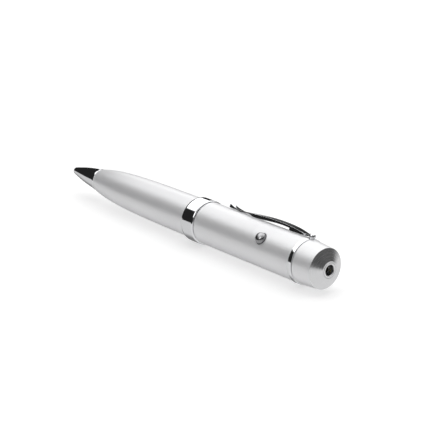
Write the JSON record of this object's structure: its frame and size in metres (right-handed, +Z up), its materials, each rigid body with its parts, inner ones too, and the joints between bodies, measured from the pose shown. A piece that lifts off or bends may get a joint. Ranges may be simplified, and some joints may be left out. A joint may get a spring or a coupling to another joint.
{
  "type": "flash drive pen",
  "caption": "Twist ballpoint pen whose halves pull apart at a chrome band to bare a flash drive plug, with a laser pointer in its tail and a pocket clip.",
  "frame": {"origin": "centre of the pen's box in plan, on the surface that the pen lies on", "axes": "+X along the pen towards its tail, +Z up as it lies on a surface"},
  "size_m": [0.1386, 0.0154, 0.017],
  "materials": {
    "satin_aluminium": "satin anodised",
    "polished_chrome": "polished",
    "turned_brass": "turned",
    "bright_steel": "bright",
    "gold_plate": "gold plated",
    "black_plastic": "moulded",
    "white_plastic": "moulded",
    "green_board": "solder mask",
    "chip_resin": "moulded resin",
    "black_rubber": "moulded",
    "clear_glass": "clear"
  },
  "bodies": {
    "drive_half": {"upper_barrel": "satin_aluminium", "clip_ring": "polished_chrome", "drive_cradle": "black_plastic", "drive_cover": "black_plastic", "drive_board": "green_board", "controller_chip": "chip_resin", "memory_chip": "chip_resin", "crystal_can": "bright_steel", "plug_shell": "bright_steel", "plug_tongue": "white_plastic", "plug_contact_1": "gold_plate", "plug_contact_2": "gold_plate", "plug_contact_3": "gold_plate", "plug_contact_4": "gold_plate", "switch_board": "green_board", "switch_body": "black_plastic", "button_cell_1": "bright_steel", "button_cell_2": "bright_steel", "button_cell_3": "bright_steel", "cell_plate": "gold_plate", "cell_spring": "bright_steel", "laser_housing": "turned_brass", "laser_board": "green_board", "laser_diode": "gold_plate", "laser_lens": "clear_glass"},
    "writing_half": {"centre_band": "polished_chrome", "plug_socket": "black_plastic", "mechanism_housing": "turned_brass"},
    "twist_barrel": {"lower_barrel": "satin_aluminium", "nose_cone": "polished_chrome", "cam_sleeve": "white_plastic"},
    "refill": {"refill_driver": "white_plastic", "refill_tube": "bright_steel", "refill_tip": "turned_brass"},
    "button": {"laser_button": "polished_chrome", "switch_plunger": "white_plastic"},
    "cap_seal": {"tail_seal": "black_rubber"},
    "cap": {"tail_cap": "satin_aluminium", "aperture_bezel": "polished_chrome", "aperture_window": "clear_glass"},
    "clip": {"pocket_clip": "polished_chrome"}
  },
  "joints": [
    {"name": "pull_apart", "type": "slide", "parent": "drive_half", "child": "writing_half", "axis": [-1, 0, 0], "range_m": [0, 0.02]},
    {"name": "barrel_twist", "type": "hinge", "parent": "writing_half", "child": "twist_barrel", "pos_m": [0.0043, 0, 0.00767], "axis": [1, 0, 0], "range_deg": [0, 180]},
    {"name": "refill_advance", "type": "slide", "parent": "writing_half", "child": "refill", "axis": [-1, 0, 0], "range_m": [0, 0.004]},
    {"name": "button_press", "type": "slide", "parent": "drive_half", "child": "button", "axis": [0, 0.766, -0.6428], "range_m": [0, 0.0005], "stiffness_N_per_m": 2000},
    {"name": "tail_cap_advance", "type": "slide", "parent": "drive_half", "child": "cap_seal", "axis": [1, 0, 0], "range_m": [0, 0.002]},
    {"name": "tail_cap_turn", "type": "hinge", "parent": "cap_seal", "child": "cap", "pos_m": [0.05965, 0, 0.00767], "axis": [1, 0, 0], "range_deg": [0, 720]},
    {"name": "clip_flex", "type": "hinge", "parent": "drive_half", "child": "clip", "pos_m": [0.05845, 0.00221, 0.01536], "axis": [0, 0.9613, -0.2756], "range_deg": [0, 5], "stiffness_Nm_per_rad": 0.9}
  ],
  "couplings": [
    {"joint": "barrel_twist", "follows": "refill_advance", "rad_per_m": 785.4},
    {"joint": "tail_cap_turn", "follows": "tail_cap_advance", "rad_per_m": 6283.2}
  ]
}
